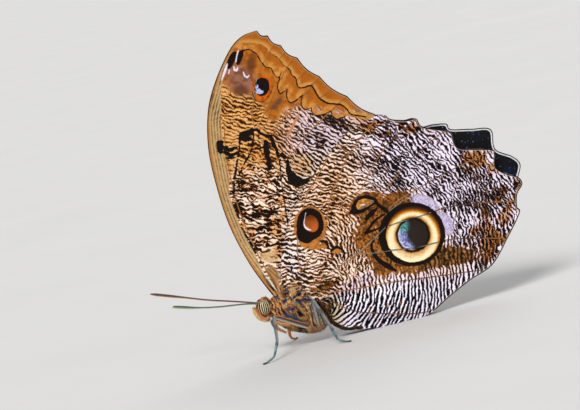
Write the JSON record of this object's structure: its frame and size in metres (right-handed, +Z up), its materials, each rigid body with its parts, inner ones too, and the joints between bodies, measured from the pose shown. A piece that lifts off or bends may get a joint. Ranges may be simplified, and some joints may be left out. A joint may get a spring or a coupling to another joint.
{
  "type": "owl butterfly, still life-size model",
  "caption": "Owl butterfly at rest with closed wings, standing on its legs and hindwing edges, with slim clubbed feelers and large eye marks.",
  "frame": {"origin": "on the surface it stands on, under the middle of its whole length and width", "axes": "-X towards the head, -Y out of its left side, +Z up; the closed wings lie along the XZ plane"},
  "size_m": [0.1054, 0.0384, 0.086],
  "materials": {
    "wing_scales": "matte scales in fine wavy lines of brown, cream and lilac grey, with eye marks",
    "body_fur": "short matte fur, tan and slate grey",
    "eye": "glossy, banded brown",
    "leg_horn": "satin horn under fine scales, orange brown to grey green",
    "feeler_horn": "satin, finely ringed, dark with orange tips"
  },
  "bodies": {
    "root": {"head": "body_fur", "eye_left": "eye", "eye_right": "eye", "palp_left": "body_fur", "palp_right": "body_fur", "antenna_left": "feeler_horn", "antenna_right": "feeler_horn", "thorax": "body_fur", "abdomen": "body_fur", "wing_fore_left": "wing_scales", "wing_fore_right": "wing_scales", "wing_hind_left": "wing_scales", "wing_hind_right": "wing_scales", "leg_fore_left": "leg_horn", "leg_fore_right": "leg_horn", "leg_mid_left": "leg_horn", "leg_mid_right": "leg_horn", "leg_hind_left": "leg_horn", "leg_hind_right": "leg_horn"}
  },
  "joints": []
}
